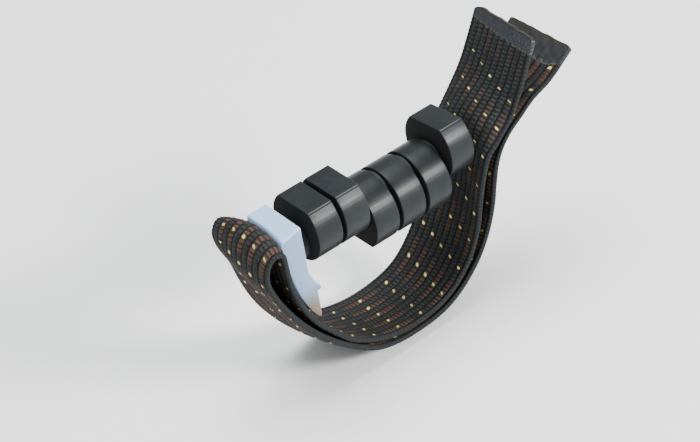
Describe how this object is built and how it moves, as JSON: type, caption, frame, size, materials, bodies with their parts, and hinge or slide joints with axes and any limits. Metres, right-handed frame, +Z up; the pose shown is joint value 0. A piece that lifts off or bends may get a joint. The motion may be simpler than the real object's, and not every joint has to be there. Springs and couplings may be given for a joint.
{
  "type": "partial guitar capo",
  "caption": "Row of eccentric rubber cams that turn one by one on a rod, with a nylon hook bracket at one end and a doubled elastic strap that runs under the neck.",
  "frame": {"origin": "on the fretboard's surface, under the middle of the rod", "axes": "+X along the rod from the bracket to the strap's free ends, +Y along the neck towards the nut, +Z up from the fretboard"},
  "size_m": [0.0949, 0.0215, 0.062],
  "materials": {
    "cam_rubber": "satin, lightly turned, charcoal black",
    "bracket_nylon": "milky, slightly translucent nylon",
    "strap_webbing": "ribbed black elastic webbing with brown and gold threads",
    "hardware_steel": "satin steel",
    "spacer_plastic": "matt black"
  },
  "bodies": {
    "root": {"rod": "hardware_steel", "near_bracket": "bracket_nylon", "near_end_washer": "spacer_plastic", "spacer_1": "spacer_plastic", "spacer_2": "spacer_plastic", "spacer_3": "spacer_plastic", "spacer_4": "spacer_plastic", "spacer_5": "spacer_plastic", "far_end_washer": "spacer_plastic", "far_collar": "hardware_steel", "elastic_strap": "strap_webbing", "near_strap_washer": "hardware_steel", "near_cap": "hardware_steel", "far_button": "hardware_steel"},
    "cam_1": {"cam_1": "cam_rubber"},
    "cam_2": {"cam_2": "cam_rubber"},
    "cam_3": {"cam_3": "cam_rubber"},
    "cam_4": {"cam_4": "cam_rubber"},
    "cam_5": {"cam_5": "cam_rubber"},
    "cam_6": {"cam_6": "cam_rubber"}
  },
  "joints": [
    {"name": "cam_1_turn", "type": "hinge", "parent": "root", "child": "cam_1", "pos_m": [-0.0189, 0, 0.011], "axis": [1, 0, 0], "continuous": true},
    {"name": "cam_2_turn", "type": "hinge", "parent": "root", "child": "cam_2", "pos_m": [-0.01102, 0, 0.011], "axis": [1, 0, 0], "continuous": true},
    {"name": "cam_3_turn", "type": "hinge", "parent": "root", "child": "cam_3", "pos_m": [-0.00314, 0, 0.011], "axis": [1, 0, 0], "continuous": true},
    {"name": "cam_4_turn", "type": "hinge", "parent": "root", "child": "cam_4", "pos_m": [0.00474, 0, 0.011], "axis": [1, 0, 0], "continuous": true},
    {"name": "cam_5_turn", "type": "hinge", "parent": "root", "child": "cam_5", "pos_m": [0.01262, 0, 0.011], "axis": [1, 0, 0], "continuous": true},
    {"name": "cam_6_turn", "type": "hinge", "parent": "root", "child": "cam_6", "pos_m": [0.0205, 0, 0.011], "axis": [1, 0, 0], "continuous": true}
  ]
}
